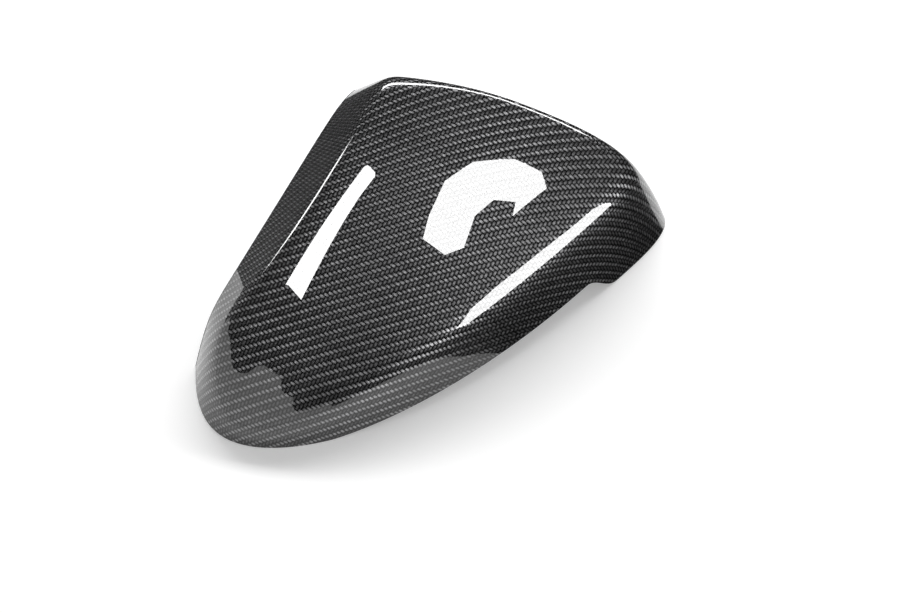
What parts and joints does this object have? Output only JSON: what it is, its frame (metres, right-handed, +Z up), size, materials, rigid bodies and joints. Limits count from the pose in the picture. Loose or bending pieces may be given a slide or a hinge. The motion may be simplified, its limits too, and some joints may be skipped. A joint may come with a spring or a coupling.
{
  "type": "wing mirror cover",
  "caption": "Domed wing mirror cover: a thin glossy carbon fibre shell with a tall end wall, a lamp slot, a low rounded nose and one open side.",
  "frame": {"origin": "middle of the plan box, on the plane of the rim", "axes": "+X along the long wall towards the tall end, +Y towards the open side, +Z up from the rim through the domed face"},
  "size_m": [0.2324, 0.1448, 0.0792],
  "materials": {
    "carbon": "twill carbon fibre under a clear gloss coat"
  },
  "bodies": {
    "root": {"mirror_cover": "carbon"}
  },
  "joints": []
}
